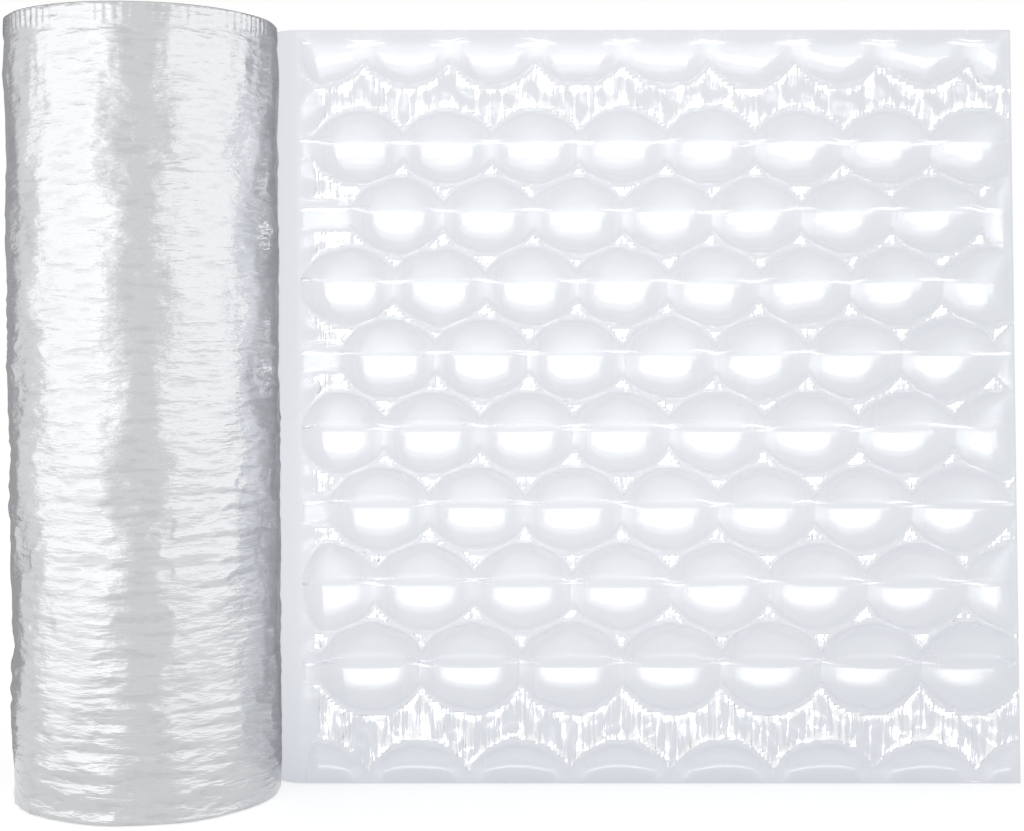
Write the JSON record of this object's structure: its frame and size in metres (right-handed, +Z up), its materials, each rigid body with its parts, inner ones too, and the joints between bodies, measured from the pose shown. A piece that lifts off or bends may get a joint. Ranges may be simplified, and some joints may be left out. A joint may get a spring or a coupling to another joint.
{
  "type": "air pillow roll",
  "caption": "Roll of flat packing film wound on a paperboard core, standing on end, with a drawn-off length inflated into staggered rows of clear pillows joined by necks.",
  "frame": {"origin": "on the roll's axis, at the base that the roll stands on", "axes": "+Z up along the roll's axis, +X the way the film leads off the roll, and the viewer of the picture on the -Y side"},
  "size_m": [0.5295, 0.139, 0.4],
  "materials": {
    "paperboard": "matte",
    "wound_film": "gloss",
    "clear_film": "gloss"
  },
  "bodies": {
    "root": {"core_tube": "paperboard", "film_roll": "wound_film", "inflated_web": "clear_film"}
  },
  "joints": []
}
